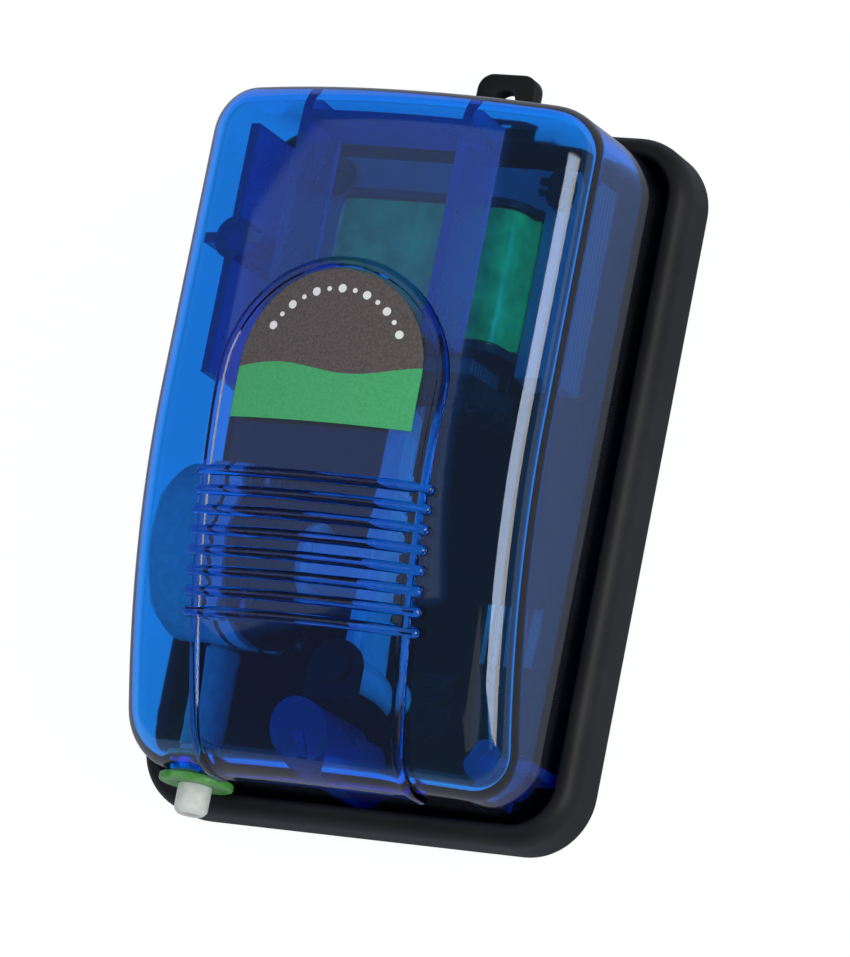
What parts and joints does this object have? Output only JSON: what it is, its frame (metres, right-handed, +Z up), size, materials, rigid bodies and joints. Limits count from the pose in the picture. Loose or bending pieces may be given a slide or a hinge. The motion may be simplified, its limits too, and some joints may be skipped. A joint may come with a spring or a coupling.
{
  "type": "aquarium air pump",
  "caption": "Small single-outlet air pump: transparent blue cover with arch pad and grip ribs on a black rubber base with hanging tab, diaphragm pump and coil inside.",
  "frame": {"origin": "centre of the bounding box in plan, on the plane the base rests on", "axes": "+Z up from the base to the cover, +Y along the length from the outlet to the hanging tab, +X to the right seen from the outlet end"},
  "size_m": [0.069, 0.1167, 0.041],
  "materials": {
    "black_rubber": "matte moulded rubber",
    "black_plastic": "moulded",
    "clear_blue": "transparent tinted polystyrene, polished",
    "label_print": "printed film, grey over a green wave",
    "green_plastic": "moulded",
    "milky_plastic": "translucent nylon",
    "clear_tube": "silicone",
    "zinc_steel": "zinc plated",
    "felt": "pressed felt",
    "core_steel": "varnished silicon steel",
    "copper_wire": "enamelled copper",
    "green_tape": "polyester tape",
    "white_plastic": "moulded acetal",
    "ferrite": "sintered ferrite, bare",
    "soft_rubber": "soft nitrile"
  },
  "bodies": {
    "housing": {"rubber_base": "black_rubber", "base_plate": "black_plastic", "cover": "clear_blue", "label": "label_print", "outlet_grommet": "green_plastic", "outlet_nozzle": "milky_plastic", "outlet_hose": "clear_tube", "case_screws": "zinc_steel", "intake_felt": "felt", "cord_grommet": "black_rubber", "core_laminations": "core_steel", "core_screws": "zinc_steel", "coil_bobbin": "black_plastic", "coil_winding": "copper_wire", "coil_tape": "green_tape", "pivot_bracket": "zinc_steel", "bracket_screws": "zinc_steel", "pivot_pin": "zinc_steel", "diaphragm": "soft_rubber", "diaphragm_ring": "black_plastic", "valve_box": "black_plastic", "valve_gasket": "soft_rubber", "valve_plate": "white_plastic", "chamber_screws": "zinc_steel"},
    "arm": {"swing_arm": "white_plastic", "magnet_yoke": "zinc_steel", "arm_magnets": "ferrite", "diaphragm_discs": "white_plastic", "diaphragm_screw": "zinc_steel"},
    "inlet_valve": {"inlet_flap": "soft_rubber"},
    "outlet_valve": {"outlet_flap": "soft_rubber"}
  },
  "joints": [
    {"name": "arm_swing", "type": "hinge", "parent": "housing", "child": "arm", "pos_m": [0.003, -0.037, 0.018], "axis": [0, 0, 1], "range_deg": [-2.5, 2.5], "stiffness_Nm_per_rad": 0.4, "deforming": ["diaphragm"]},
    {"name": "inlet_flap_open", "type": "hinge", "parent": "housing", "child": "inlet_valve", "pos_m": [-0.01485, -0.021, 0.0266], "axis": [0, -1, 0], "range_deg": [0, 12], "stiffness_Nm_per_rad": 0.00002},
    {"name": "outlet_flap_open", "type": "hinge", "parent": "housing", "child": "outlet_valve", "pos_m": [-0.01755, -0.021, 0.0159], "axis": [0, 1, 0], "range_deg": [0, 12], "stiffness_Nm_per_rad": 0.00002}
  ]
}
